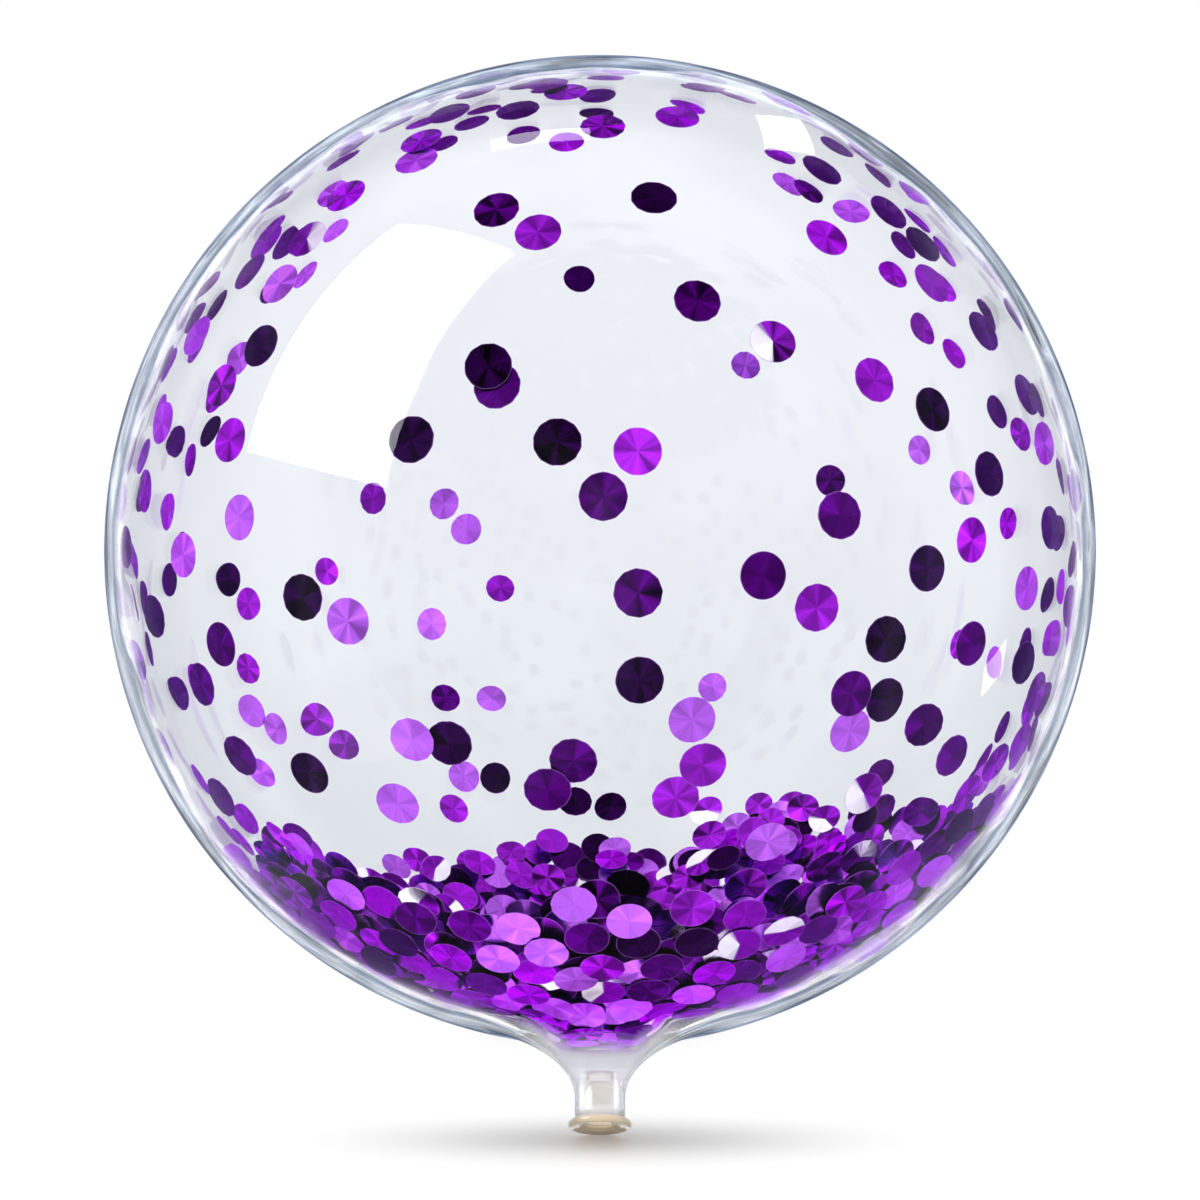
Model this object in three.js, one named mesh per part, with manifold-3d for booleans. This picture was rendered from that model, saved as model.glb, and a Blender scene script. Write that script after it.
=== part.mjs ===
// Clear bubble balloon with a short open neck, lying loose on a floor.
// Millimetres, +Z up. The origin is on the floor, straight below the centre of the ball.
// The ball rests on a small flat spot, and it has rolled until the rim of its mouth touches
// the floor too, so the neck points down and towards -Y.
import * as THREE from 'three';
import Module from 'manifold-3d';
import { mergeVertices } from 'three/addons/utils/BufferGeometryUtils.js';

const wasm = await Module();
wasm.setup();

// ---- driving dimensions ----
const BALL_R = 225;            // outer radius of the inflated ball
const WALL = 5;                // wall of the ball
const FLAT_R = 20;             // radius of the flat spot that the ball lies on

const FLARE_DEG = 17;          // where the flare leaves the ball, from the neck's axis
const FLARE_START = 26;        // how strongly the flare follows the ball
const FLARE_END = 18;          // how strongly the flare follows the neck
const NECK_R = 10.15;          // outer radius of the film neck
const NECK_WALL = 1.1;         // the film is thinner in the neck
const NECK_FROM = 254.4;       // distances from the ball's centre, along the neck's axis
const NECK_TO = 263.1;
const INNER_NECK_FROM = 250.5;
const PART_AT = 227;           // the film's solid is parted here into the ball and its neck

const GAP = 0.3;               // between the film neck and the sleeve in it
const SLEEVE_FROM = 245;
const SLEEVE_TO = 266.5;       // the end face of the mouth
const BORE_R = 6.6;
const RIM_R = 12.9;            // outer radius of the rolled rim
const RIM_THICK = 3.1;
const RIM_ROUND = 1.5;         // radius of the rim's round edge

const DOT_R = 8.75;            // confetti dots: flat foil discs
const DOT_THICK = 0.3;
const DOT_GAP = 0.6;           // between a dot's face and the wall that it clings to

const FILM_SIDES = 44;
const SLEEVE_SIDES = 28;
const DOT_SIDES = 14;

// Dots that cling to the wall one by one, as [degrees to the right of -Y, degrees above level].
const DOTS = [
  [-15.3, 56.2], [13.7, 54.8], [-30.4, 51], [-37.7, 42.6], [-7.4, 37], [29.1, 36.8], [50.6, 50.3], [43.2, 31.5],
  [-41, 31.5], [10.6, 29.2], [29.6, 21], [49.6, 26.1], [56.7, 13.8], [39.9, 4.8], [65.4, 8.5], [3.6, 14.2],
  [-4.1, 15.1], [-18.6, 15.2], [-44.8, 20.2], [-41.2, 14.7], [-47.3, 2.8], [-57.4, 8.7], [-54.4, -4.1], [-45.9, -10.4],
  [-62, -20], [-24.7, -2.1], [3.7, -7.1], [20.8, -0.7], [28.8, -4.2], [50.2, -8.6], [61, -3.8], [35.3, -13.6],
  [46.1, -22.9], [-42.1, -17.8], [-31.8, -18.4], [-5.3, -18.3], [7.7, -19.3], [28.9, -20.3], [-140.5, 79.9], [-130.3, 67.9],
  [132.7, 53.5], [121.1, 36.7], [156, 22.7], [143, 5.2], [-159.4, -2.3], [-100.9, -5.4], [88.7, -5], [-161, -28.5],
];

// ---- the pose: the ball's height, and how far the neck points below level ----
const CENTRE_Z = Math.sqrt(BALL_R ** 2 - FLAT_R ** 2);
function neckAngle() {
  // the round edge of the rim touches z = 0
  const t = SLEEVE_TO - RIM_ROUND, r = RIM_R - RIM_ROUND;
  let low = 0.5, high = 1.2;
  for (let i = 0; i < 60; i++) {
    const mid = (low + high) / 2;
    if (t * Math.sin(mid) + r * Math.cos(mid) + RIM_ROUND > CENTRE_Z) high = mid;
    else low = mid;
  }
  return low;
}
const NECK_DOWN = neckAngle();

// A lathe's +Y becomes the neck's axis, and its origin the centre of the ball.
const placed = new THREE.Matrix4()
  .makeTranslation(0, 0, CENTRE_Z)
  .multiply(new THREE.Matrix4().makeRotationX(Math.PI + NECK_DOWN));

// ---- profiles, as (radius, distance along the neck's axis) ----
function arc(cr, ct, radius, from, to, steps) {
  const out = [];
  for (let i = 0; i <= steps; i++) {
    const a = THREE.MathUtils.degToRad(from + ((to - from) * i) / steps);
    out.push(new THREE.Vector2(cr + radius * Math.sin(a), ct + radius * Math.cos(a)));
  }
  return out;
}

function flare(radius, neckR, neckFrom, steps) {
  // leaves the ball along its tangent and runs out into the neck
  const a = THREE.MathUtils.degToRad(FLARE_DEG);
  const p0 = new THREE.Vector2(radius * Math.sin(a), radius * Math.cos(a));
  const p1 = new THREE.Vector2(p0.x - FLARE_START * Math.cos(a), p0.y + FLARE_START * Math.sin(a));
  const p2 = new THREE.Vector2(neckR, neckFrom - FLARE_END);
  const p3 = new THREE.Vector2(neckR, neckFrom);
  return new THREE.CubicBezierCurve(p0, p1, p2, p3).getPoints(steps);
}

function filmProfile() {
  const inner = NECK_R - NECK_WALL;
  const ballSteps = 23, flareSteps = 8;
  const outside = arc(0, 0, BALL_R, 180, FLARE_DEG, ballSteps)
    .concat(flare(BALL_R, NECK_R, NECK_FROM, flareSteps).slice(1), [new THREE.Vector2(NECK_R, NECK_TO)]);
  const inside = arc(0, 0, BALL_R - WALL, 180, FLARE_DEG, ballSteps)
    .concat(flare(BALL_R - WALL, inner, INNER_NECK_FROM, flareSteps).slice(1), [new THREE.Vector2(inner, NECK_TO)]);
  outside[0].x = 0;
  inside[0].x = 0;
  return outside.concat(inside.reverse());
}

function sleeveProfile() {
  const outer = NECK_R - NECK_WALL - GAP;
  const rimFrom = SLEEVE_TO - RIM_THICK;
  const edge = arc(RIM_R - RIM_ROUND, SLEEVE_TO - RIM_ROUND, RIM_ROUND, 180, 0, 6);
  edge[0].y = rimFrom;
  const ring = [
    [BORE_R, SLEEVE_TO - 2.1], [BORE_R, SLEEVE_FROM + 0.4], [BORE_R + 0.4, SLEEVE_FROM],
    [outer - 0.5, SLEEVE_FROM], [outer, SLEEVE_FROM + 0.5], [outer, rimFrom],
  ].map(([r, t]) => new THREE.Vector2(r, t))
    .concat(edge, [
      [8.7, SLEEVE_TO], [8.1, SLEEVE_TO - 0.9], [7.1, SLEEVE_TO - 1.1],
    ].map(([r, t]) => new THREE.Vector2(r, t)));
  return ring.concat([ring[0].clone()]);
}

// ---- solids ----
function closed(geometry) {
  geometry.deleteAttribute('normal');
  geometry.deleteAttribute('uv');
  return mergeVertices(geometry, 1e-4);
}

function solidOf(geometry) {
  const g = closed(geometry);
  const make = (tris) => new wasm.Manifold(new wasm.Mesh({
    numProp: 3,
    vertProperties: new Float32Array(g.attributes.position.array),
    triVerts: tris,
  }));
  const tris = new Uint32Array(g.index.array);
  const solid = make(tris);
  if (solid.volume() > 0) return solid;
  // the lathe's faces point inwards: turn each triangle round
  for (let i = 0; i < tris.length; i += 3) [tris[i + 1], tris[i + 2]] = [tris[i + 2], tris[i + 1]];
  return make(tris);
}

function geometryOf(solid) {
  const m = solid.getMesh();
  const g = new THREE.BufferGeometry();
  const points = new Float32Array((m.vertProperties.length / m.numProp) * 3);
  for (let i = 0; i < points.length / 3; i++) {
    for (let k = 0; k < 3; k++) points[3 * i + k] = m.vertProperties[m.numProp * i + k];
  }
  g.setAttribute('position', new THREE.BufferAttribute(points, 3));
  g.setIndex(new THREE.BufferAttribute(new Uint32Array(m.triVerts), 1));
  g.computeVertexNormals();
  return g;
}

function lathed(profile, sides) {
  // a corner of the lathe's polygon points straight at the floor
  return solidOf(new THREE.LatheGeometry(profile, sides).applyMatrix4(placed));
}

const floorCutter = solidOf(new THREE.BoxGeometry(200, 200, 60).translate(0, 0, -30));

function beyond(from) {
  // everything further than this from the ball's centre, along the neck's axis
  return solidOf(new THREE.BoxGeometry(200, 100, 200).translate(0, from + 50, 0).applyMatrix4(placed));
}

const filmLook = new THREE.MeshStandardMaterial({
  color: 0xe6edf5, roughness: 0.05, metalness: 0, transparent: true, opacity: 0.3,
});
const wholeFilm = lathed(filmProfile(), FILM_SIDES).subtract(floorCutter);

const film = new THREE.Mesh(geometryOf(wholeFilm.subtract(beyond(PART_AT))), filmLook);
film.name = 'bubble_film';

const neck = new THREE.Mesh(geometryOf(wholeFilm.intersect(beyond(PART_AT + GAP))), filmLook);
neck.name = 'bubble_film_neck';

const sleeve = new THREE.Mesh(
  geometryOf(lathed(sleeveProfile(), SLEEVE_SIDES)),
  new THREE.MeshStandardMaterial({
    color: 0xd8c6a6, roughness: 0.15, metalness: 0, transparent: true, opacity: 0.6,
  }),
);
sleeve.name = 'mouth_sleeve';

const group = new THREE.Group();
group.add(film, neck, sleeve);

// ---- confetti dots, each flat against the wall ----
// A flat disc of this radius in a ball leaves its middle this far from the wall.
const innerR = (BALL_R - WALL) * Math.cos(Math.PI / FILM_SIDES);
const sag = innerR - Math.sqrt(innerR ** 2 - DOT_R ** 2);
const dotAt = innerR - sag - DOT_GAP - DOT_THICK / 2;
const foil = new THREE.MeshStandardMaterial({ color: 0x6a11a8, roughness: 0.25, metalness: 0.9 });
DOTS.forEach(([right, up], i) => {
  const dot = new THREE.Mesh(new THREE.CylinderGeometry(DOT_R, DOT_R, DOT_THICK, DOT_SIDES), foil);
  dot.name = `confetti_dot_${String(i + 1).padStart(2, '0')}`;
  const a = THREE.MathUtils.degToRad(right), b = THREE.MathUtils.degToRad(up);
  const out = new THREE.Vector3(Math.sin(a) * Math.cos(b), -Math.cos(a) * Math.cos(b), Math.sin(b));
  dot.quaternion.setFromUnitVectors(new THREE.Vector3(0, 1, 0), out);
  dot.position.copy(out).multiplyScalar(dotAt).add(new THREE.Vector3(0, 0, CENTRE_Z));
  group.add(dot);
});

export default group;
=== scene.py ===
"""A clear bubble balloon with purple foil confetti in it, lying loose on a pale floor.

Metres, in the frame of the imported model. The film, the sleeve in its mouth and every dot are
built here as meshes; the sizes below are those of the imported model.
"""
from math import atan, cos, pi, radians, sin, sqrt

import bpy
import numpy as np
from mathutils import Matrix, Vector
from mathutils import noise as ripple
from mathutils.kdtree import KDTree


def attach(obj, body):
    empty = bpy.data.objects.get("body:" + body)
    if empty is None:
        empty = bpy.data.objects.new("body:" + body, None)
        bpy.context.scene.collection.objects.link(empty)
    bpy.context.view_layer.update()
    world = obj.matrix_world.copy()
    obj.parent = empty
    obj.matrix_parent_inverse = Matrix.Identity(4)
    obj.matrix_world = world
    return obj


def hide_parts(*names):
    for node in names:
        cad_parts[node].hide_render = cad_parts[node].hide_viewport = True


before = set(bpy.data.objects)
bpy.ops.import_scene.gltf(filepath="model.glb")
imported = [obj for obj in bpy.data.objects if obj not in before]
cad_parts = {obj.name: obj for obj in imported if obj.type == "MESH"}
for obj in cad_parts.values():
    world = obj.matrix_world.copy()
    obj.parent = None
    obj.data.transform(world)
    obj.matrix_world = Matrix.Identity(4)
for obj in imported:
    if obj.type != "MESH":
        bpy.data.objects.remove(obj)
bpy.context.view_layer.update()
scene = bpy.context.scene

# ---- sizes ----
BALL_R, WALL, FLAT_R = 0.225, 0.005, 0.020
FLARE, FLARE_START, FLARE_END = radians(17), 0.026, 0.018
NECK_R, NECK_WALL = 0.01015, 0.0011
NECK_FROM, NECK_TO, INNER_NECK_FROM = 0.2544, 0.2631, 0.2505
SLEEVE_FROM, SLEEVE_TO = 0.245, 0.2665
BORE_R, SLEEVE_R = 0.0066, 0.00875
RIM_R, RIM_THICK = 0.0129, 0.0031
DOT_R, DOT_THICK = 0.00875, 0.00022

CENTRE = np.array([0.0, 0.0, sqrt(BALL_R**2 - FLAT_R**2)])
NECK_DOWN = radians(54.5987)
AXIS = np.array([0.0, -cos(NECK_DOWN), -sin(NECK_DOWN)])  # from the ball's centre out through the mouth
SIDE = np.array([1.0, 0.0, 0.0])
OVER = np.cross(AXIS, SIDE)

# ---- camera: level with the ball and a little above it ----
DISTANCE, ABOVE = 0.9, radians(5.5)
cam_data = bpy.data.cameras.new("camera")
cam_data.sensor_width, cam_data.lens = 36, 57.6
cam_data.clip_start, cam_data.clip_end = 0.01, 100
camera = bpy.data.objects.new("camera", cam_data)
camera.location = (0, -DISTANCE * cos(ABOVE), CENTRE[2] + DISTANCE * sin(ABOVE))
camera.rotation_euler = (radians(90) - (ABOVE + atan(46 / 1920)), 0, 0)
scene.collection.objects.link(camera)
scene.camera = camera


# ---- small helpers ----
def new_mesh(name, points, faces, smooth=True):
    mesh = bpy.data.meshes.new(name)
    mesh.from_pydata([tuple(map(float, p)) for p in points], [], faces)
    mesh.update()
    mesh.polygons.foreach_set("use_smooth", [smooth] * len(mesh.polygons))
    obj = bpy.data.objects.new(name, mesh)
    scene.collection.objects.link(obj)
    return obj


def arc(radius, a0, a1, n):
    a = np.radians(np.linspace(a0, a1, n + 1))
    return [(abs(radius * sin(x)) if 0 < x < pi - 1e-9 else 0.0, radius * cos(x)) for x in a]


def round_edge(cr, ct, radius, a0, a1, n):
    a = np.radians(np.linspace(a0, a1, n + 1))
    return [(cr + radius * sin(x), ct + radius * cos(x)) for x in a]


def flare(radius, neck_r, neck_from, n):
    """The wall leaves the ball along its tangent and runs out into the neck."""
    p0 = (radius * sin(FLARE), radius * cos(FLARE))
    p1 = (p0[0] - FLARE_START * cos(FLARE), p0[1] + FLARE_START * sin(FLARE))
    p2, p3 = (neck_r, neck_from - FLARE_END), (neck_r, neck_from)
    out = []
    for i in range(n + 1):
        s = i / n
        w = ((1 - s) ** 3, 3 * (1 - s) ** 2 * s, 3 * (1 - s) * s * s, s**3)
        out.append(tuple(sum(k * p[j] for k, p in zip(w, (p0, p1, p2, p3))) for j in (0, 1)))
    return out


def lathe(profile, sides, closed=False):
    """Turns (radius, distance along the neck's axis) round that axis."""
    points, rows, faces = [], [], []
    for r, t in profile:
        if r < 1e-7:
            rows.append([len(points)])
            points.append(CENTRE + AXIS * t)
            continue
        rows.append(list(range(len(points), len(points) + sides)))
        for k in range(sides):
            a = 2 * pi * k / sides
            points.append(CENTRE + AXIS * t + SIDE * (r * cos(a)) + OVER * (r * sin(a)))
    pairs = list(zip(rows, rows[1:] + rows[:1])) if closed else list(zip(rows, rows[1:]))
    for a, b in pairs:
        for k in range(sides):
            m = (k + 1) % sides
            if len(a) == 1 and len(b) > 1:
                faces.append((a[0], b[m], b[k]))
            elif len(b) == 1 and len(a) > 1:
                faces.append((a[k], a[m], b[0]))
            elif len(a) > 1:
                faces.append((a[k], a[m], b[m], b[k]))
    return points, faces


def new_material(name):
    m = bpy.data.materials.new(name)
    m.use_nodes = True
    return m, m.node_tree, m.node_tree.nodes["Principled BSDF"]


def ramp(tree, source, stops, mode="LINEAR"):
    n = tree.nodes.new("ShaderNodeValToRGB")
    n.color_ramp.interpolation = mode
    e = n.color_ramp.elements
    e[0].position, e[0].color = stops[0][0], (*stops[0][1], 1)
    e[1].position, e[1].color = stops[-1][0], (*stops[-1][1], 1)
    for at, colour in stops[1:-1]:
        e.new(at).color = (*colour, 1)
    tree.links.new(source, n.inputs[0])
    return n.outputs["Color"]


def maths(tree, op, *values):
    n = tree.nodes.new("ShaderNodeMath")
    n.operation = op
    for i, v in enumerate(values):
        if isinstance(v, (int, float)):
            n.inputs[i].default_value = v
        else:
            tree.links.new(v, n.inputs[i])
    return n.outputs[0]


def noise(tree, vector, scale, detail=2.0, rough=0.5, distortion=0.0, dims="3D"):
    n = tree.nodes.new("ShaderNodeTexNoise")
    n.noise_dimensions = dims
    n.inputs["Scale"].default_value = scale
    n.inputs["Detail"].default_value = detail
    n.inputs["Roughness"].default_value = rough
    n.inputs["Distortion"].default_value = distortion
    if dims == "1D":
        tree.links.new(vector, n.inputs["W"])
    else:
        tree.links.new(vector, n.inputs["Vector"])
    return n.outputs["Fac"]


# ---- the clear film: ball, flare and neck in one skin ----
ARC, BEND = 112, 34
outer = arc(BALL_R, 180, 17, ARC) + flare(BALL_R, NECK_R, NECK_FROM, BEND)[1:]
outer += [(NECK_R, 0.2570), (NECK_R, 0.2600), (NECK_R, 0.26290), (NECK_R - 0.00015, NECK_TO)]
inner_r = NECK_R - NECK_WALL


def wall_thick(degrees):
    """The skin's thickness, by the angle from the neck's axis: it thins out along the flare."""
    k = float(np.interp(degrees, [3.2, 8.0], [1.0, 0.0]))
    return WALL + (NECK_WALL - WALL) * k * k * (3 - 2 * k)


inner = []
for r, t in outer[: ARC + 1]:
    angle = float(np.degrees(np.arctan2(r, t)))
    inner.append((r * (1 - wall_thick(angle) / BALL_R), t * (1 - wall_thick(angle) / BALL_R)))
bend = flare(BALL_R, NECK_R, NECK_FROM, BEND)
for i in range(1, BEND + 1):
    before, after = np.array(bend[i - 1]), np.array(bend[min(i + 1, BEND)])
    along = (after - before) / np.linalg.norm(after - before)
    thick = wall_thick(float(np.degrees(np.arctan2(*bend[i]))))
    inner.append(tuple(np.array(bend[i]) + np.array([along[1], -along[0]]) * -thick))
inner += [(inner_r, 0.2570), (inner_r, 0.2590), (inner_r, 0.26290), (inner_r + 0.00015, NECK_TO)]
inner_ang = np.degrees(np.arctan2([r for r, _ in inner], [t for _, t in inner]))[::-1]
inner_dist = np.hypot([r for r, _ in inner], [t for _, t in inner])[::-1]
points, faces = lathe(outer + inner[::-1], 224)
# inside, the film is very slightly uneven; outside it is smooth
shaped = []
for p in points:
    q = np.array(p) - CENTRE
    far = float(np.linalg.norm(q))
    if abs(far - (BALL_R - WALL)) < 0.0002:
        unit = q / far
        fade = float(np.interp(np.degrees(np.arccos(unit @ AXIS)), [18, 30], [0, 1]))
        wave = 0.8 * ripple.noise(Vector(q * 17)) + 0.45 * ripple.noise(Vector(q * 41 + 7))
        q = q - unit * 0.00030 * wave * fade
    shaped.append((q[0], q[1], max(q[2] + CENTRE[2], 0.0)))  # flat where it lies on the floor
film = new_mesh("clear_film", shaped, faces)

# the film of the funnel is a little milky, least on its upper side and most at its cut end
from_centre = np.array(shaped) - CENTRE
at_axis = from_centre @ AXIS
at_angle = np.degrees(np.arccos(np.clip(at_axis / np.linalg.norm(from_centre, axis=1), -1, 1)))
upper = np.interp(from_centre @ OVER / np.maximum(np.linalg.norm(from_centre - at_axis[:, None] * AXIS, axis=1), 1e-6), [0.45, 0.80], [0.0, 1.0])
milky = np.clip((9.0 - 3.8 * upper - at_angle) / (2.6 - 1.4 * upper), 0, 1) * 0.30
milky = np.where(at_axis > 0.2480, np.interp(at_axis, [0.2480, 0.2520, 0.2612, 0.2622], [0.30, 0.10, 0.10, 0.60]), milky)


def graded(obj, mat, lets_through, levels):
    """Each face takes the copy of the material whose plain transmission is nearest its own."""
    corner = np.zeros(len(obj.data.loops), dtype=np.int32)
    first = np.zeros(len(obj.data.polygons), dtype=np.int32)
    obj.data.loops.foreach_get("vertex_index", corner)
    obj.data.polygons.foreach_get("loop_start", first)
    share = np.add.reduceat(lets_through[corner], first) / np.diff(np.append(first, len(corner)))
    for i, level in enumerate(levels):
        step = mat if i == 0 else mat.copy()
        step.name = mat.name if i == 0 else f"{mat.name}_step_{i}"
        surface = next(n for n in step.node_tree.nodes if n.type == "BSDF_PRINCIPLED")
        surface.inputs["Transmission Weight"].default_value = level
        obj.data.materials.append(step)
    nearest = np.abs(share[:, None] - np.array(levels)).argmin(axis=1)
    obj.data.polygons.foreach_set("material_index", nearest.astype(np.int32))
    obj.data.update()


mat, tree, shader = new_material("clear_film")
shader.inputs["Base Color"].default_value = (0.943, 0.957, 0.983, 1)
shader.inputs["Roughness"].default_value = 0.0
shader.inputs["IOR"].default_value = 1.45
shader.inputs["Specular Tint"].default_value = (0.5, 0.5, 0.5, 1)
graded(film, mat, 1 - milky, (1.0, 0.94, 0.88, 0.82, 0.76, 0.70, 0.40))
film.visible_shadow = False
film.visible_diffuse = False
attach(film, "root")
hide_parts("bubble_film", "bubble_film_neck")

# ---- the tan sleeve in the mouth, with its rolled rim ----
rim_from = SLEEVE_TO - RIM_THICK
ring = [(BORE_R, SLEEVE_TO - 0.0024), (BORE_R, 0.2590), (BORE_R, 0.2530), (BORE_R, SLEEVE_FROM + 0.0006)]
ring += round_edge(BORE_R + 0.0005, SLEEVE_FROM + 0.0005, 0.0005, 270, 180, 5)[1:]
ring += round_edge(SLEEVE_R - 0.0006, SLEEVE_FROM + 0.0006, 0.0006, 180, 90, 5)
ring += [(SLEEVE_R, 0.2520), (SLEEVE_R, 0.2590), (SLEEVE_R, rim_from - 0.0006)]
ring += [(SLEEVE_R + 0.0002, rim_from - 0.0001), (SLEEVE_R + 0.0008, rim_from)]
ring += [(0.0105, rim_from + 0.00005)]
ring += round_edge(RIM_R - 0.0015, SLEEVE_TO - 0.0015, 0.0015, 165, 0, 14)
ring += [(0.0106, SLEEVE_TO - 0.00012), (0.0098, SLEEVE_TO - 0.0005), (0.0092, SLEEVE_TO - 0.0007)]
ring += [(0.0087, SLEEVE_TO - 0.0006), (0.0082, SLEEVE_TO - 0.0009), (0.0077, SLEEVE_TO - 0.0014)]
ring += [(0.0072, SLEEVE_TO - 0.0015), (0.0068, SLEEVE_TO - 0.0019)]
points, faces = lathe(ring, 144, closed=True)
points = [(p[0], p[1], max(p[2], 0.0)) for p in points]
sleeve = new_mesh("mouth_sleeve_clear", points, [f[::-1] for f in faces])
# the film neck's tan shows where the sleeve is thick: along its rim and at its inner end
depth = sleeve.data.attributes.new(name="tan", type="FLOAT", domain="POINT")
along_axis = [(np.array(v.co) - CENTRE) @ AXIS for v in sleeve.data.vertices]
tan_of = np.interp(along_axis, [0.2449, 0.2462, 0.2585, SLEEVE_TO - 0.0038, SLEEVE_TO - 0.0028], [0.55, 0.16, 0.10, 0.20, 1.0])
depth.data.foreach_set("value", tan_of.astype(np.float32))
mat, tree, shader = new_material("tan_sleeve")
N, L = tree.nodes.new, tree.links.new
tan_at = N("ShaderNodeAttribute")
tan_at.attribute_name = "tan"
place = N("ShaderNodeTexCoord").outputs["Object"]
cloudy = noise(tree, place, 260.0, detail=3.0)
tan_mix = maths(tree, "MULTIPLY", tan_at.outputs["Fac"], maths(tree, "MULTIPLY_ADD", cloudy, 0.5, 0.75))
L(ramp(tree, tan_mix, [(0.0, (0.95, 0.93, 0.90)), (0.35, (0.90, 0.83, 0.73)), (0.75, (0.90, 0.80, 0.64)), (1.0, (0.90, 0.76, 0.56))]), shader.inputs["Base Color"])
L(maths(tree, "MULTIPLY_ADD", cloudy, 0.08, 0.02), shader.inputs["Roughness"])
shader.inputs["IOR"].default_value = 1.42
graded(sleeve, mat, 1 - 0.62 * tan_of, (0.93, 0.87, 0.66, 0.38))
sleeve.visible_shadow = False
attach(sleeve, "root")
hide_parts("mouth_sleeve")

# ---- confetti: flat foil dots, each laid on the wall or on the dots under it ----
# A cloud of points on the ball's inside holds how thick the confetti already is at each place.
INNER = BALL_R - WALL
rng = np.random.default_rng(7703)


def wall_at(directions):
    """The inner wall's distance from the centre along each direction."""
    ang = np.degrees(np.arccos(np.clip(directions @ AXIS, -1, 1)))
    return np.where(ang >= 17, INNER, np.interp(ang, inner_ang, inner_dist))


N_CLOUD = 300000
k = np.arange(N_CLOUD) + 0.5
z = 1 - 2 * k / N_CLOUD
turn = pi * (1 + sqrt(5)) * k
cloud = np.stack([np.sqrt(1 - z * z) * np.cos(turn), np.sqrt(1 - z * z) * np.sin(turn), z], 1)
# how far out from the centre there is still room; the dots bridge the narrow way into the neck
free = np.minimum(wall_at(cloud), INNER + 0.0006) - 0.00045
tree_kd = KDTree(N_CLOUD)
for i, p in enumerate(cloud):
    tree_kd.insert(p, i)
tree_kd.balance()


def near(direction, radius):
    return np.array([i for _, i, _ in tree_kd.find_range(Vector(direction), radius)])


def frame_of(normal):
    a = np.cross(normal, [0.0, 0.0, 1.0] if abs(normal[2]) < 0.9 else [1.0, 0.0, 0.0])
    a /= np.linalg.norm(a)
    return a, np.cross(normal, a)


def lay(direction, lean):
    """Lays a dot with its outside face towards direction, leaning by the vector lean.

    Returns its centre (from the ball's centre) and its outward normal. It goes out until its
    rim or face meets the wall or another dot.
    """
    direction = direction / np.linalg.norm(direction)
    normal = direction + lean - direction * float(lean @ direction)
    normal /= np.linalg.norm(normal)
    idx = near(direction, DOT_R * 1.08 / INNER)
    d = cloud[idx]
    cosine = d @ normal
    reach = 1 / cosine  # each cloud direction meets the dot's plane, at distance h, this far out
    gap = DOT_THICK / 2 + 0.00016
    h = float(np.min(free[idx] * cosine)) - gap
    for _ in range(3):
        off = d * (reach * h)[:, None] - direction * (h / float(direction @ normal))
        inside = np.einsum("ij,ij->i", off, off) < (DOT_R * 1.02) ** 2
        h = float(np.min(free[idx][inside] * cosine[inside])) - gap
    centre = direction * (h / float(direction @ normal))
    off = d * (reach * h)[:, None] - centre
    inside = np.einsum("ij,ij->i", off, off) < (DOT_R * 1.02) ** 2
    took = idx[inside]
    free[took] = np.minimum(free[took], (h - gap) * reach[inside])
    return centre, normal


def leaning(direction, degrees, to_viewer=0.0):
    """A lean of about so many degrees any way, and a share of it that turns a face forwards."""
    turn = rng.uniform(0, 2 * pi)
    a, b = frame_of(direction)
    out = (a * cos(turn) + b * sin(turn)) * np.tan(radians(min(abs(rng.normal(0, degrees)), 22)))
    if to_viewer:
        front = np.array(camera.location) - CENTRE - direction * INNER
        front /= np.linalg.norm(front)
        across = front - direction * float(front @ direction)
        across /= max(np.linalg.norm(across), 1e-6)
        out = out + across * (np.tan(radians(to_viewer)) * (1 if front @ direction > 0 else -1))
    return out


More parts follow.
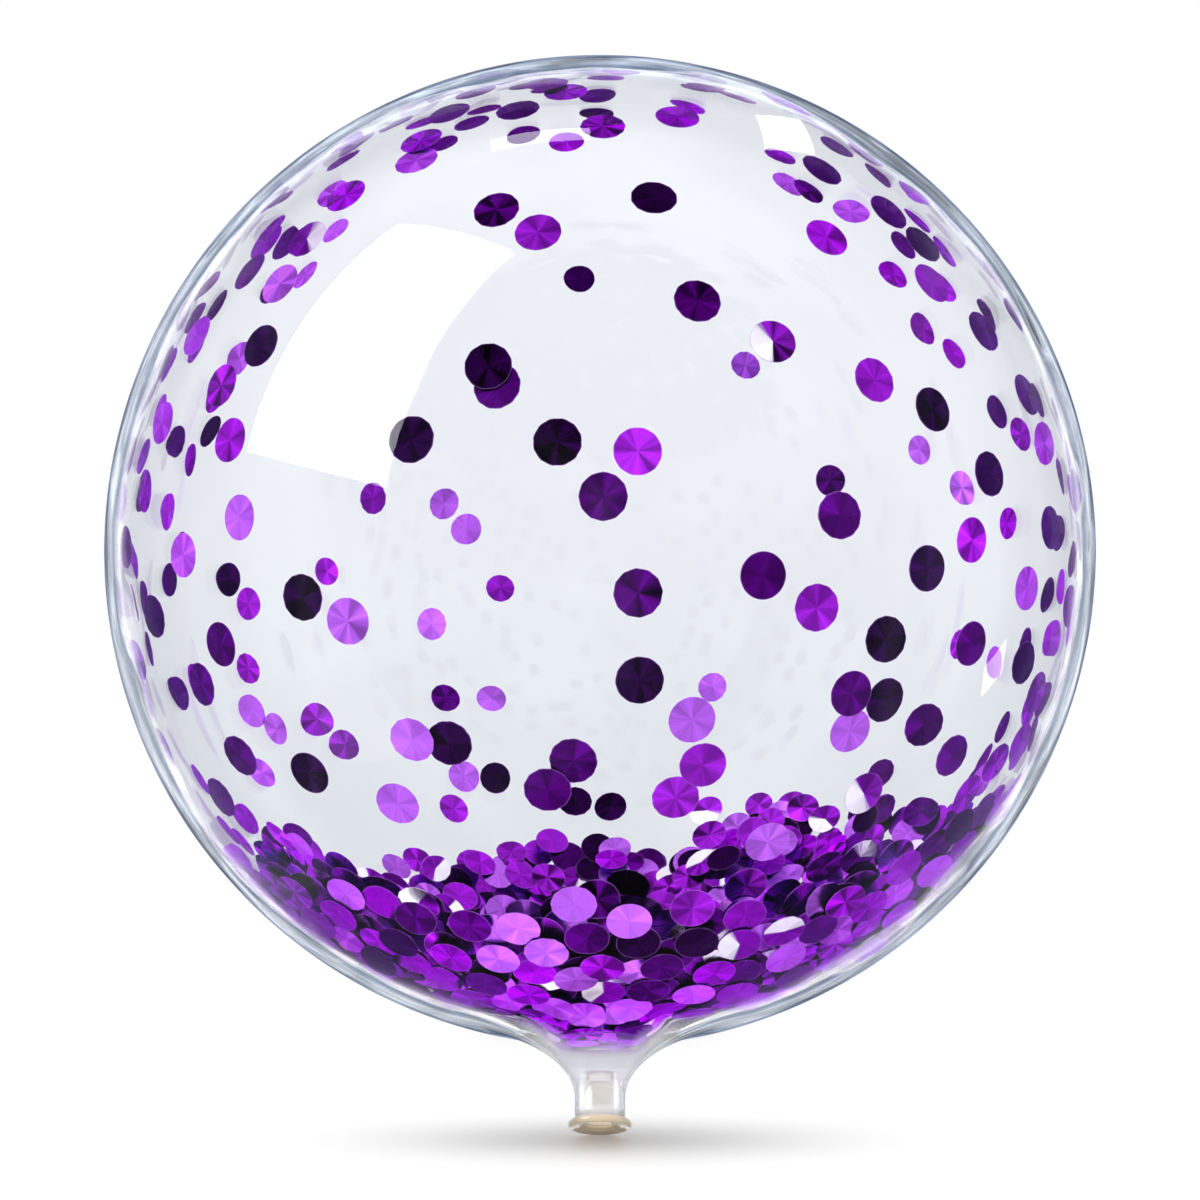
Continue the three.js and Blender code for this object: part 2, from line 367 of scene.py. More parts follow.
# Single dots on the wall: degrees to the right of -Y, degrees above level, tone. The tone is a painted reflection:
# how much light each dot's foil catches. A capital has strong painted light and dark wedges.
SINGLE = [
    (-16.3, 58.2, "K"), (-13.7, 65.6, "d"), (-8.1, 63.4, "m"), (-9.6, 73.2, "m"), (-119.6, 82.7, "d"), (0.5, 54.3, "M"),
    (14.6, 56.7, "m"), (27.1, 65.4, "d"), (126.8, 76, "m"), (37.2, 64.7, "d"), (-31.4, 58.2, "d"), (-32.2, 64.2, "d"),
    (-124.5, 69.8, "d"), (-32, 52.7, "m"), (-30, 49.2, "l"), (-125.9, 64, "d"), (-50.5, 53.8, "D"), (-39, 44, "M"),
    (-107.7, 51.6, "l"), (-13.5, 41.1, "D"), (-7.6, 38.1, "m"), (7.2, 42.8, "k"), (29.7, 37.9, "m"), (36.3, 47.9, "k"),
    (130.6, 55.1, "l"), (125.5, 53.7, "D"), (54.9, 52.2, "d"), (93, 53.7, "d"), (44.1, 41.9, "D"), (46.9, 37.6, "k"),
    (112.2, 42.3, "d"), (119.9, 38, "m"), (44, 32.6, "m"), (-50, 34.3, "d"), (-41.8, 32.5, "L"), (-41.2, 38.1, "w"),
    (-51.3, 38.4, "m"), (-176, 38.5, "d"), (10.7, 30.1, "D"), (18.6, 25.9, "W"), (155.8, 24, "l"), (29.8, 21.8, "m"),
    (36.8, 18.7, "K"), (127.5, 11.4, "l"), (50.5, 27.1, "d"), (113.6, 25.9, "m"), (55.5, 20, "d"), (101.6, 14.7, "m"),
    (57.2, 14.7, "l"), (43.7, 12, "k"), (118.8, 6.4, "L"), (40, 5.6, "m"), (108, 2.4, "m"), (54.9, 5.9, "d"),
    (66, 9.3, "m"), (143, 6.3, "d"), (23.5, 8.7, "d"), (3.6, 15, "m"), (0.3, 10.8, "d"), (-4.1, 15.9, "K"),
    (-11.5, 23.3, "K"), (-10.5, 21.5, "d"), (-18.7, 16, "k"), (-144.1, 3.8, "m"), (-155.9, 2.8, "l"), (-159.4, -1.1, "l"),
    (-40.7, 25.4, "k"), (-112.4, 25, "l"), (-45.3, 21.1, "M"), (-55, 26.6, "l"), (-41.5, 15.5, "m"), (-38.6, 7.9, "l"),
    (-47.3, 3.6, "l"), (-62.2, 3.3, "d"), (-57.7, 9.6, "m"), (-56.3, 16.9, "l"), (-101.2, -4.4, "d"), (-54.2, -3.3, "k"),
    (-119.9, -9.7, "m"), (-41.3, -4.9, "d"), (-45.6, -9.5, "d"), (-102.1, -18.1, "m"), (-61.6, -8.9, "m"), (-60.2, -18.7, "m"),
    (-135.3, -6.2, "m"), (-29.9, 0.6, "K"), (-24.7, -1.4, "L"), (-153.1, -15.7, "l"), (-164.4, -10.8, "m"), (3.5, 1.9, "D"),
    (3.7, -6.3, "K"), (15.4, 3.3, "d"), (20.8, 0.1, "m"), (33.5, 3.2, "k"), (28.7, -3.4, "K"), (40, -4.7, "d"),
    (49.9, -7.7, "k"), (49.2, 0.1, "l"), (60.8, -2.9, "m"), (89.1, -4.1, "l"), (25.1, -8.5, "d"), (29.4, -9.6, "k"),
    (25.6, -12.4, "l"), (35, -12.7, "d"), (40, -16.5, "d"), (45.3, -21.8, "m"), (-153.2, -26.8, "d"), (-161.2, -27.3, "l"),
    (-18.7, -12.8, "l"), (-14.9, -13, "k"), (-127.6, -27.8, "m"), (-130.7, -32, "m"), (-41.6, -16.8, "d"), (-48.2, -22.6, "d"),
    (-114.7, -24.3, "l"), (-118, -27.5, "l"), (-31.5, -17.4, "K"), (-21.3, -19.8, "l"), (-153.4, -39.6, "l"), (-159.4, -40.4, "k"),
    (-149.1, -44.3, "m"), (-5.2, -17.4, "d"), (-2.6, -14.4, "d"), (-175.2, -44.9, "k"), (177.9, -45.8, "k"), (8.8, -10.3, "l"),
    (160.7, -26, "l"), (10.1, -14.9, "m"), (7.6, -18.4, "m"), (157.4, -46, "w"), (146.3, -44, "m"), (139.2, -42.8, "m"),
    (18.1, -24, "l"), (28.6, -19.4, "w"), (54.4, -11.5, "m"), (89.4, -20, "m"), (53.7, -17.1, "m"), (72.4, -21.7, "d"),
    (49.5, -18.8, "m"), (89, -10.6, "l"), (-73.2, -3.7, "l"), (-86.8, -0.4, "m"), (-73.7, -15.7, "l"), (-106.1, 10.9, "m"),
    (-109.1, 19.6, "m"),
]
# painted reflection: the foil is one purple; each tone, from near black k to pale lavender l, paints how much light a
# dot catches, and w dots carry a painted glint
TONES = {
    "k": (0.0145, 0.0002, 0.032),
    "d": (0.062, 0.0006, 0.130),
    "m": (0.265, 0.0110, 0.490),
    "l": (0.470, 0.1150, 0.790),
    "w": (0.200, 0.0080, 0.390),
}


def direction_of(right, up):
    a, b = radians(right), radians(up)
    return np.array([sin(a) * cos(b), -cos(a) * cos(b), sin(b)])


clinging = []
for right, up, tone in SINGLE:
    v = direction_of(right, up)
    centre, normal = lay(v, leaning(v, 2.6))
    clinging.append((centre, normal, tone))

# More of them, thinly spread over the sides, top and back.
taken = np.array([c / np.linalg.norm(c) for c, _, _ in clinging])
added = 0
while added < 96:
    v = rng.normal(size=3)
    v /= np.linalg.norm(v)
    if v[2] < -0.62 or v[1] < -0.30 or v[1] > (0.16 if added % 2 else 0.45):
        continue
    if np.min(np.arccos(np.clip(taken @ v, -1, 1))) * INNER < 0.0165:
        continue
    taken = np.vstack([taken, v])
    centre, normal = lay(v, leaning(v, 3.5))
    clinging.append((centre, normal, str(rng.choice(list("kdml"), p=[0.18, 0.37, 0.30, 0.15]))))
    added += 1

# The heap lines the low side of the ball, thickest at the bottom, and climbs a little at the sides.
MIDDLE = np.array([0.0, -sin(radians(12)), -cos(radians(12))])
HEAP_COUNT, FIRST_LAYER = 1290, 330
edge_waves = [(rng.uniform(0, 2 * pi), n) for n in (3, 5, 8, 13)]


def heap_edge(v):
    """How far the heap reaches from its middle, in degrees, on the side that v lies on."""
    az = np.arctan2(v[0], -v[1])
    reach = 43.5 + 8 * sin(az) ** 2 + 4.5 * sin(az)
    return reach + sum(1.0 * cos(n * az + p) for p, n in edge_waves)


heap, first, tries = [], [], 0
while len(heap) < HEAP_COUNT and tries < 90000:
    tries += 1
    v = rng.normal(size=3)
    v /= np.linalg.norm(v)
    if v[2] > -0.2:
        continue
    u = np.degrees(np.arccos(np.clip(v @ MIDDLE, -1, 1))) / heap_edge(v)
    if rng.uniform() > np.interp(u, [0.0, 0.45, 0.88, 1.0, 1.10], [1.0, 0.85, 0.72, 0.24, 0.0]):
        continue
    if len(heap) < FIRST_LAYER and tries < 30000:
        # the lowest dots lie side by side on the film
        if first and np.min(np.arccos(np.clip(np.array(first) @ v, -1, 1))) * INNER < 0.0142:
            continue
        first.append(v)
        centre, normal = lay(v, leaning(v, 3.0, 5.0))
        # a painted tone drawn at random: how much light the dot catches; w dots get a painted glint
        tone = str(rng.choice(list("kdmlwM"), p=[0.08, 0.18, 0.32, 0.30, 0.05, 0.07]))
    else:
        depth = INNER - float(np.min(free[near(v, 0.004 / INNER)]))
        centre, normal = lay(v, leaning(v, 3.5 + min(5.0, 900 * max(depth, 0)), 8.0))
        # painted tone drawn at random, as above
        tone = str(rng.choice(list("kdmlwMLD"), p=[0.07, 0.15, 0.25, 0.18, 0.10, 0.13, 0.08, 0.04]))
    heap.append((centre, normal, tone))
print("confetti:", len(clinging), "single,", len(heap), "in the heap, up to", round(float((INNER - free).max()) * 1000, 1), "mm deep")

SECTORS = 36


def dots(name, placed, fanned):
    """One mesh of closed thin discs. Each face is a fan of flat facets, as punched foil has.

    fanned is how strongly the painted light and dark wedges on the foil show, as lowest and highest for a dot.
    """
    n, s = len(placed), SECTORS
    centre = np.array([p[0] for p in placed]) + CENTRE
    normal = np.array([p[1] for p in placed])
    tone = np.array([TONES[p[2].lower()] for p in placed])
    strong = np.array([[[p[2].isupper()]] for p in placed])
    glint_dots = np.array([p[2].lower() == "w" for p in placed])
    a = np.cross(normal, rng.normal(size=(n, 3)))
    a /= np.linalg.norm(a, axis=1)[:, None]
    b = np.cross(normal, a)
    phi = 2 * pi * np.arange(s) / s
    wavy = rng.uniform(0.0, 0.018, (n, 1)) * np.cos(12 * phi[None] + rng.uniform(0, 2 * pi, (n, 1)))
    radius = DOT_R * (0.99 + wavy + rng.normal(0, 0.002, (n, s)))
    two, three = rng.uniform(0, 2 * pi, (2, n, 1))
    curl = rng.uniform(0.00002, 0.00012, (n, 1)) * np.cos(2 * phi[None] + two)
    curl += rng.uniform(0.0, 0.00006, (n, 1)) * np.cos(3 * phi[None] + three)
    curl += rng.normal(0, 0.00002, (n, s))
    rim = (
        centre[:, None]
        + a[:, None] * (radius * np.cos(phi))[..., None]
        + b[:, None] * (radius * np.sin(phi))[..., None]
        + normal[:, None] * curl[..., None]
    )
    half = normal[:, None] * (DOT_THICK / 2)
    verts = np.concatenate([centre[:, None] + half, centre[:, None] - half, rim + half, rim - half], axis=1)
    per = 2 + 2 * s
    base = (np.arange(n) * per)[:, None]
    i, j = 2 + np.arange(s), 2 + (np.arange(s) + 1) % s
    top = np.stack([base + 0 * i, base + i, base + j], -1).reshape(-1, 3)
    bottom = np.stack([base + 1 + 0 * i, base + j + s, base + i + s], -1).reshape(-1, 3)
    side = np.stack([base + i, base + i + s, base + j + s, base + j], -1).reshape(-1, 4)
    mesh = bpy.data.meshes.new(name)
    mesh.vertices.add(n * per)
    mesh.vertices.foreach_set("co", verts.reshape(-1))
    loops = np.concatenate([top.reshape(-1), bottom.reshape(-1), side.reshape(-1)])
    starts = np.concatenate([
        3 * np.arange(len(top) + len(bottom)),
        3 * (len(top) + len(bottom)) + 4 * np.arange(len(side)),
    ])
    mesh.loops.add(len(loops))
    mesh.loops.foreach_set("vertex_index", loops.astype(np.int32))
    mesh.polygons.add(len(starts))
    mesh.polygons.foreach_set("loop_start", starts.astype(np.int32))
    mesh.polygons.foreach_set("use_smooth", np.zeros(len(starts), bool))
    mesh.update(calc_edges=True)
    # u runs out from the middle and v round the dot
    v0, v1 = np.arange(s) / s, (np.arange(s) + 1) / s
    mid = (v0 + v1) / 2
    fan = np.stack([np.stack([0 * mid, mid], -1), np.stack([0 * v0 + 1, v0], -1), np.stack([0 * v1 + 1, v1], -1)], 1)
    fan_b = fan[:, [0, 2, 1]]
    wall = np.stack([np.stack([0 * v0 + 1, v0], -1)] * 2 + [np.stack([0 * v1 + 1, v1], -1)] * 2, 1)
    uv = np.concatenate([np.tile(fan, (n, 1, 1)).reshape(-1), np.tile(fan_b, (n, 1, 1)).reshape(-1), np.tile(wall, (n, 1, 1)).reshape(-1)])
    layer = mesh.uv_layers.new(name="round")
    layer.data.foreach_set("uv", uv.astype(np.float32))
    colour = mesh.color_attributes.new(name="tone", type="FLOAT_COLOR", domain="POINT")
    # each dot's painted tone, scaled a little at random; alpha is how strongly its painted wedges show
    rgba = np.ones((n, per, 4), np.float32)
    rgba[:, :, :3] = tone[:, None] * rng.uniform(0.85, 1.15, (n, 1, 1))
    # pale dots show their painted wedges half as strongly
    pale = np.array([[0.5 if p[2].lower() == "l" else 1.0] for p in placed])
    rgba[:, :, 3] = np.where(strong[..., 0], 1.0, rng.uniform(*fanned, (n, 1))) * pale
    colour.data.foreach_set("color", np.clip(rgba, 0, 1).reshape(-1))
    which = mesh.attributes.new(name="which", type="FLOAT", domain="POINT")
    which.data.foreach_set("value", np.repeat(rng.uniform(0, 50, n), per).astype(np.float32))
    # painted glint: marks the dots whose faces are painted near white
    painted_glint = mesh.attributes.new(name="painted_glint", type="FLOAT", domain="POINT")
    painted_glint.data.foreach_set("value", np.repeat(np.where(glint_dots, 1.0, 0.0), per).astype(np.float32))
    mesh.validate()
    obj = bpy.data.objects.new(name, mesh)
    scene.collection.objects.link(obj)
    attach(obj, "root")
    return obj


single_dots = dots("confetti_clinging", clinging, (0.30, 0.75))
heap_dots = dots("confetti_heap", heap, (0.15, 0.7))
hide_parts(*[f"confetti_dot_{i:02d}" for i in range(1, 49)])

mat, tree, shader = new_material("purple_foil")
N, L = tree.nodes.new, tree.links.new
tone = N("ShaderNodeAttribute")
tone.attribute_name = "tone"
which = N("ShaderNodeAttribute")
which.attribute_name = "which"
uvm = N("ShaderNodeUVMap")
uvm.uv_map = "round"
split = N("ShaderNodeSeparateXYZ")
L(uvm.outputs["UV"], split.inputs[0])
# painted reflection: light and dark wedges round the middle, and fine rays in them, are painted into the foil's colour
# the way brushed foil would reflect them; a different run on each dot
turned = maths(tree, "MULTIPLY", split.outputs["Y"], 2 * pi)
around = N("ShaderNodeCombineXYZ")
L(maths(tree, "COSINE", turned), around.inputs[0])
L(maths(tree, "SINE", turned), around.inputs[1])
L(which.outputs["Fac"], around.inputs[2])
painted_wedges = noise(tree, around.outputs[0], 1.15, detail=1.5, rough=0.5)
painted_wedge_light = ramp(tree, painted_wedges, [
    (0.34, (0.10, 0.10, 0.10)), (0.43, (0.42, 0.42, 0.42)), (0.50, (1.0, 1.0, 1.0)),
    (0.57, (1.45, 1.45, 1.45)), (0.66, (2.3, 2.3, 2.3)),
])
angle = maths(tree, "ADD", split.outputs["Y"], which.outputs["Fac"])
rays = noise(tree, angle, 38.0, detail=3.0, rough=0.6, dims="1D")
painted_wedge_mix = N("ShaderNodeMix")
painted_wedge_mix.data_type = "FLOAT"
L(tone.outputs["Alpha"], painted_wedge_mix.inputs[0])
painted_wedge_mix.inputs[2].default_value = 1.0
L(painted_wedge_light, painted_wedge_mix.inputs[3])
strength = maths(tree, "MULTIPLY", painted_wedge_mix.outputs[0], maths(tree, "MULTIPLY_ADD", rays, 0.36, 0.82))
tinted = N("ShaderNodeVectorMath")
tinted.operation = "SCALE"
L(tone.outputs["Color"], tinted.inputs[0])
L(strength, tinted.inputs["Scale"])
# painted glint: on a few dots most of the face is painted near white, as if it caught a lamp
painted_glint = N("ShaderNodeAttribute")
painted_glint.attribute_name = "painted_glint"
pale = N("ShaderNodeMix")
pale.data_type = "RGBA"
glint_lobe = maths(tree, "MULTIPLY_ADD", maths(tree, "COSINE", maths(tree, "ADD", turned, which.outputs["Fac"])), 0.5, 0.5)
glint_lobe = maths(tree, "ADD", glint_lobe, maths(tree, "MULTIPLY_ADD", painted_wedges, 0.7, -0.35))
L(maths(tree, "MULTIPLY", ramp(tree, glint_lobe, [(0.57, (0, 0, 0)), (0.66, (0.8, 0.8, 0.8)), (0.76, (1, 1, 1))]), painted_glint.outputs["Fac"]), pale.inputs[0])
L(tinted.outputs[0], pale.inputs[6])
pale.inputs[7].default_value = (0.98, 0.92, 1.0, 1)
# painted highlight: a thin brighter rim round each dot's edge
edge = N("ShaderNodeMix")
edge.data_type = "RGBA"
L(ramp(tree, split.outputs["X"], [(0.0, (0, 0, 0)), (0.96, (0, 0, 0)), (0.982, (0.22, 0.22, 0.22)), (1.0, (0.30, 0.30, 0.30))]), edge.inputs[0])
L(pale.outputs[2], edge.inputs[6])
edge.inputs[7].default_value = (0.62, 0.26, 0.86, 1)
L(edge.outputs[2], shader.inputs["Base Color"])
L(maths(tree, "MULTIPLY_ADD", rays, 0.10, 0.20), shader.inputs["Roughness"])
shader.inputs["Metallic"].default_value = 1.0
shader.inputs["Specular Tint"].default_value = (0.62, 0.10, 0.90, 1)
shader.inputs["Anisotropic"].default_value = 0.88
tangent = N("ShaderNodeTangent")
tangent.direction_type = "UV_MAP"
tangent.uv_map = "round"
L(tangent.outputs[0], shader.inputs["Tangent"])
for obj in (single_dots, heap_dots):
    obj.data.materials.append(mat)
    obj.visible_shadow = False
    obj.visible_diffuse = False

# ---- floor ----
FLOOR_R = 1.35
ring_n = 96
points = [(0, 0, 0)] + [(FLOOR_R * cos(2 * pi * i / ring_n), FLOOR_R * sin(2 * pi * i / ring_n), 0) for i in range(ring_n)]
floor = new_mesh("floor", points, [(0, 1 + i, 1 + (i + 1) % ring_n) for i in range(ring_n)], smooth=False)
mat, tree, shader = new_material("pale_floor")
shader.inputs["Base Color"].default_value = (0.90, 0.90, 0.90, 1)
shader.inputs["Roughness"].default_value = 1.0
shader.inputs["Specular IOR Level"].default_value = 0.0
floor.data.materials.append(mat)
floor.visible_transmission = False
floor.visible_glossy = False

# ---- studio light ----
world = bpy.data.worlds.new("studio")
scene.world = world
world.use_nodes = True
tree = world.node_tree
tree.nodes.clear()
N, L = tree.nodes.new, tree.links.new
way = N("ShaderNodeTexCoord").outputs["Generated"]
path = N("ShaderNodeLightPath")


def background(colour, strength=1.0):
    n = N("ShaderNodeBackground")
    if isinstance(colour, tuple):
        n.inputs["Color"].default_value = (*colour, 1)
    else:
        L(colour, n.inputs["Color"])
    if isinstance(strength, (int, float)):
        n.inputs["Strength"].default_value = strength
    else:
        L(strength, n.inputs["Strength"])
    return n.outputs[0]


def choose(test, if_true, if_false):
    n = N("ShaderNodeMixShader")
    L(test, n.inputs[0])
    L(if_false, n.inputs[1])
    L(if_true, n.inputs[2])
    return n.outputs[0]


D = 1 / 90


def off_axis(azimuth, height):
    """How far a direction is off the line of sight from that side: 1 at 90 degrees."""
    a, e = radians(azimuth), radians(height)
    d = N("ShaderNodeVectorMath")
    d.operation = "DOT_PRODUCT"
    L(way, d.inputs[0])
    d.inputs[1].default_value = (-sin(a) * cos(e), cos(a) * cos(e), -sin(e))
    return maths(tree, "MULTIPLY", maths(tree, "ARCCOSINE", d.outputs["Value"]), 2.0 / pi), d.outputs["Value"]


def vector(op, a, b=None, scale=None):
    n = N("ShaderNodeVectorMath")
    n.operation = op
    for i, v in enumerate((a, b)):
        if isinstance(v, tuple):
            n.inputs[i].default_value = v
        elif v is not None:
            L(v, n.inputs[i])
    if scale is not None:
        if isinstance(scale, (int, float)):
            n.inputs["Scale"].default_value = scale
        else:
            L(scale, n.inputs["Scale"])
    return n.outputs[0]


# Strip lights and dark flags stand round the backdrop: they draw the edge of the clear film.
# Fainter ones stand evenly all round, 72 degrees apart, so no other side is lit specially.
front, front_cos = off_axis(0, 5.5)
sides = [(off_axis(72 * k, 5.5)[0], 0.20) for k in (1, 2, 3, 4)]
facing = (0.0, cos(radians(5.5)), -sin(radians(5.5)))
round_way = vector("NORMALIZE", vector("SUBTRACT", way, vector("SCALE", facing, scale=front_cos)))
streak_at = vector("ADD", vector("SCALE", round_way, scale=9.0), vector("SCALE", facing, scale=maths(tree, "MULTIPLY", front, 22.0)))
streak = noise(tree, streak_at, 1.0, detail=2.5, rough=0.55, distortion=0.35)
streaks = ramp(tree, streak, [
    (0.30, (0.34, 0.40, 0.48)), (0.40, (0.74, 0.78, 0.83)), (0.47, (1.0, 1.0, 1.0)), (0.56, (1.08, 1.08, 1.08)), (0.60, (1.6, 1.6, 1.6)), (0.70, (1.8, 1.8, 1.8)),
])
height = N("ShaderNodeSeparateXYZ")
L(way, height.inputs[0])
low = ramp(tree, maths(tree, "MULTIPLY_ADD", height.outputs["Z"], 0.5, 0.5), [(0.2, (1.10, 1.08, 1.05)), (0.5, (1.0, 1.0, 1.0)), (0.8, (0.98, 1.04, 1.12))])


def strips(inside, tail):
    ring = [
        (0, (0.9, 0.9, 0.9)), (12 * D, (0.22, 0.28, 0.38)), (20 * D, (0.24, 0.30, 0.40)), (22.5 * D, (0.50, 0.56, 0.64)), (29 * D, (0.62, 0.66, 0.72)),
        (32 * D, (0.34, 0.40, 0.48)), (36 * D, (0.15, 0.19, 0.28)), (37.5 * D, (0.9, 0.92, 0.95)), (41 * D, (1.15, 1.15, 1.18)),
        (43 * D, (0.34, 0.35, 0.37)), (47 * D, (0.08, 0.08, 0.09)), (60 * D, (0.025, 0.025, 0.025)), (1, (0.01, 0.01, 0.01)),
    ]
    edge = [
        (0, (0.2, 0.25, 0.35)), (14 * D, (0.19, 0.24, 0.34)), (24 * D, (0.22, 0.27, 0.38)), (27.5 * D, (0.58, 0.62, 0.70)), (34 * D, (0.58, 0.62, 0.68)),
        (36.5 * D, (0.20, 0.25, 0.34)), (39 * D, (0.18, 0.22, 0.30)), (40.5 * D, (1.0, 1.0, 1.02)), (43 * D, (0.8, 0.8, 0.82)), (45 * D, (0.26, 0.26, 0.27)),
        (49 * D, (0.07, 0.07, 0.07)), (62 * D, (0.02, 0.02, 0.022)), (1, (0.008, 0.008, 0.01)),
    ]
    stops = [(at, tuple(c * tail for c in colour)) for at, colour in (ring if inside else edge)]
    return stops if tail == 1.0 else [(0, (0.03, 0.03, 0.03))] + stops[1:]


def strip_light(inside):
    main = vector("MULTIPLY", vector("MULTIPLY", ramp(tree, front, strips(inside, 1.0)), streaks), low)
    both = main
    for away, share in sides:
        both = vector("ADD", both, ramp(tree, away, strips(inside, share)))
    return background(vector("ADD", both, from_floor) if inside else both)


# the pale floor sends some light up past the neck
floor_part = maths(tree, "MULTIPLY", ramp(tree, maths(tree, "MULTIPLY", height.outputs["Z"], -1.0), [(0.26, (0, 0, 0)), (0.42, (1, 1, 1))]),
                   ramp(tree, front, [(38 * D, (0, 0, 0)), (46 * D, (0.06, 0.06, 0.06)), (60 * D, (0.04, 0.04, 0.04)), (76 * D, (0.03, 0.03, 0.03)), (1, (0.03, 0.03, 0.03))]))
from_floor = vector("SCALE", (1.0, 1.0, 1.0), scale=floor_part)
ring_light = strip_light(True)
outside = strip_light(False)
patches = noise(tree, way, 1.6, detail=1.5, rough=0.5, distortion=0.3)
foil_light = background(ramp(tree, patches, [(0.34, (0.90, 0.90, 0.90)), (0.50, (1.35, 1.35, 1.35)), (0.66, (2.2, 2.2, 2.2))]))
# what shows through the balloon is a little darker low down
plain = background((1, 1, 1), 1.0)
through = background(ramp(tree, maths(tree, "MULTIPLY_ADD", height.outputs["Z"], -1.0, 0.5), [
    (0.40, (1.03, 1.03, 1.03)), (0.50, (1.0, 1.0, 1.0)), (0.65, (0.915, 0.92, 0.93)), (0.80, (0.84, 0.85, 0.86)), (0.87, (0.78, 0.78, 0.79)), (1.0, (0.76, 0.76, 0.77)),
]))
glossy = maths(tree, "GREATER_THAN", path.outputs["Glossy Depth"], 0.5)
in_wall = maths(tree, "GREATER_THAN", path.outputs["Transmission Depth"], 0.5)
in_ball = maths(tree, "GREATER_THAN", path.outputs["Transmission Depth"], 2.5)
lit = choose(glossy, choose(in_ball, foil_light, choose(in_wall, ring_light, outside)), choose(in_wall, through, plain))
lit = choose(path.outputs["Is Diffuse Ray"], background((1, 1, 1), 0.55), lit)
L(lit, N("ShaderNodeOutputWorld").inputs["Surface"])
world.cycles.sampling_method = "NONE"

# softbox up to the left, in front of the balloon, by the directions of its corners
corners = [(-0.522, 0.065, 0.850), (-0.256, -0.278, 0.926), (-0.696, -0.662, 0.278), (-0.954, -0.090, 0.286)]
soft = new_mesh("softbox", [CENTRE + 3 * np.array(c) for c in corners], [(0, 1, 2, 3)], smooth=False)
uv = soft.data.uv_layers.new(name="panel")
for loop, at in zip(uv.data, [(0, 1), (1, 1), (1, 0), (0, 0)]):
    loop.uv = at
mat = bpy.data.materials.new("softbox")
mat.use_nodes = True
tree = mat.node_tree
tree.nodes.clear()
glow = tree.nodes.new("ShaderNodeEmission")
box_path = tree.nodes.new("ShaderNodeLightPath")
deep = maths(tree, "GREATER_THAN", box_path.outputs["Transmission Depth"], 2.5)
tree.links.new(maths(tree, "MULTIPLY_ADD", deep, -19.0, 21.0), glow.inputs["Strength"])
panel = tree.nodes.new("ShaderNodeUVMap")
panel.uv_map = "panel"
sep = tree.nodes.new("ShaderNodeSeparateXYZ")
tree.links.new(panel.outputs["UV"], sep.inputs[0])
tree.links.new(
    ramp(tree, sep.outputs["X"], [(0.0, (1, 1, 1)), (0.60, (1, 1, 1)), (0.66, (0.5, 0.5, 0.52)), (1.0, (0.3, 0.3, 0.32))]),
    glow.inputs["Color"],
)
tree.links.new(glow.outputs[0], tree.nodes.new("ShaderNodeOutputMaterial").inputs["Surface"])
mat.cycles.emission_sampling = "NONE"
soft.data.materials.append(mat)
soft.visible_camera = False
soft.visible_diffuse = False
soft.visible_shadow = False


# smaller reflectors: low on the left, over the top, and on the right
def reflector(name, quad, strength):
    obj = new_mesh(name, [CENTRE + 3 * np.array(c) for c in quad], [(0, 1, 2, 3)], smooth=False)
    m = bpy.data.materials.new(name)
    m.use_nodes = True
    m.node_tree.nodes.clear()
    out = m.node_tree.nodes.new("ShaderNodeEmission")
    depth = m.node_tree.nodes.new("ShaderNodeLightPath")
    near_side = maths(m.node_tree, "LESS_THAN", depth.outputs["Transmission Depth"], 2.5)
    m.node_tree.links.new(maths(m.node_tree, "MULTIPLY_ADD", near_side, strength - 1.0, 1.0), out.inputs["Strength"])
    m.node_tree.links.new(out.outputs[0], m.node_tree.nodes.new("ShaderNodeOutputMaterial").inputs["Surface"])
    m.cycles.emission_sampling = "NONE"
    obj.data.materials.append(m)
    obj.visible_camera = obj.visible_diffuse = obj.visible_shadow = obj.visible_transmission = False


reflector("reflector_low", [(-0.887, -0.389, -0.248), (-0.759, -0.615, -0.214), (-0.536, -0.632, -0.560), (-0.747, -0.329, -0.577)], 1.3)
reflector("reflector_top", [(-0.249, 0.328, 0.911), (-0.023, 0.316, 0.949), (-0.024, 0.239, 0.971), (-0.256, 0.249, 0.934)], 5.0)
reflector("reflector_high", [(0.284, 0.599, 0.749), (0.322, 0.703, 0.634), (0.430, 0.498, 0.753), (0.361, 0.379, 0.852)], 6.0)

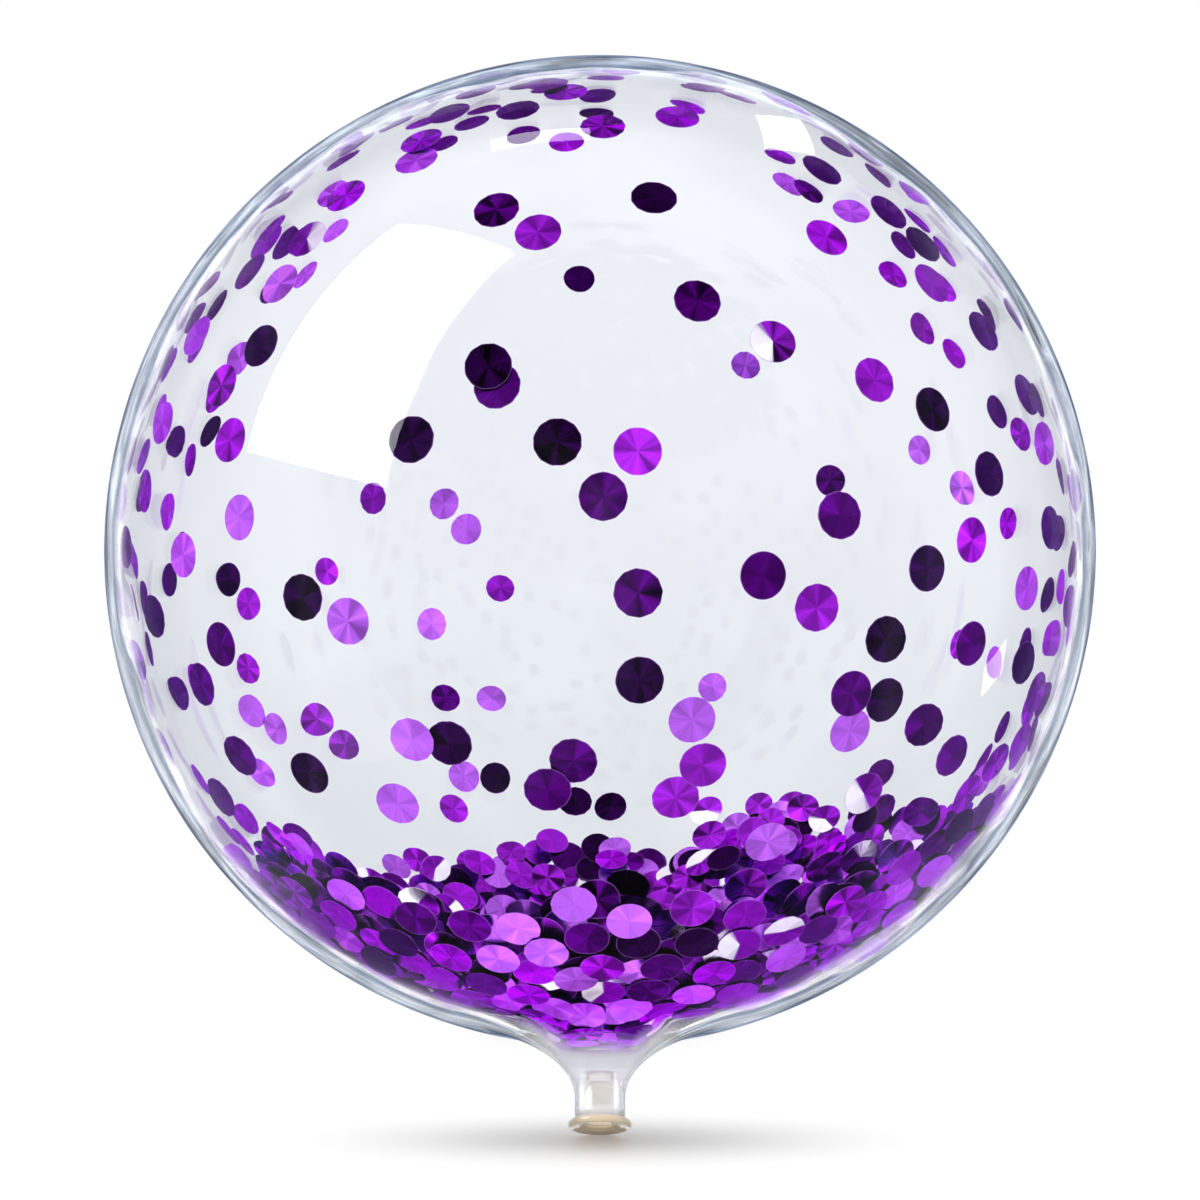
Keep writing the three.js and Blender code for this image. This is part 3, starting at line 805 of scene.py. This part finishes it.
reflector("reflector_right", [(0.965, 0.148, -0.215), (0.941, 0.168, -0.294), (0.93, 0.084, -0.359), (0.956, 0.049, -0.29)], 7.0)

sun_data = bpy.data.lights.new("key", "SUN")
sun_data.energy = 1.9
sun_data.angle = radians(30)
sun = bpy.data.objects.new("key", sun_data)
sun.rotation_euler = (0, 0, 0)
# a scrim close over the floor, seen only by the key light, casts shaped soft shadows under the mouth and where the ball
# touches down, standing in for the balloon's own shadow, which the film and dots do not cast
scrim = new_mesh("scrim", [(-0.3, -0.3, 0.004), (0.3, -0.3, 0.004), (0.3, 0.15, 0.004), (-0.3, 0.15, 0.004)], [(0, 1, 2, 3)], smooth=False)
mat = bpy.data.materials.new("scrim")
mat.use_nodes = True
tree = mat.node_tree
tree.nodes.clear()
spot = tree.nodes.new("ShaderNodeTexCoord").outputs["Object"]
xyz = tree.nodes.new("ShaderNodeSeparateXYZ")
tree.links.new(spot, xyz.inputs[0])


def blot(cx, cy, sx, sy, amount):
    dx = maths(tree, "DIVIDE", maths(tree, "SUBTRACT", xyz.outputs["X"], cx), sx)
    dy = maths(tree, "DIVIDE", maths(tree, "SUBTRACT", xyz.outputs["Y"], cy), sy)
    r2 = maths(tree, "ADD", maths(tree, "MULTIPLY", dx, dx), maths(tree, "MULTIPLY", dy, dy))
    return maths(tree, "MULTIPLY", maths(tree, "EXPONENT", maths(tree, "MULTIPLY", r2, -0.5)), amount)


held_back = maths(tree, "ADD", blot(0.003, -0.149, 0.056, 0.0125, 0.86), blot(0, 0.004, 0.034, 0.026, 0.95))
passed = maths(tree, "SUBTRACT", 1.0, maths(tree, "MINIMUM", held_back, 1.0))
clear = tree.nodes.new("ShaderNodeBsdfTransparent")
tree.links.new(passed, clear.inputs["Color"])
tree.links.new(clear.outputs[0], tree.nodes.new("ShaderNodeOutputMaterial").inputs["Surface"])
scrim.data.materials.append(mat)
for kind in ("camera", "diffuse", "glossy", "transmission"):
    setattr(scrim, "visible_" + kind, False)
sun.visible_glossy = False
sun.visible_transmission = False
scene.collection.objects.link(sun)

scene.view_settings.view_transform = "Standard"
scene.view_settings.look = "None"
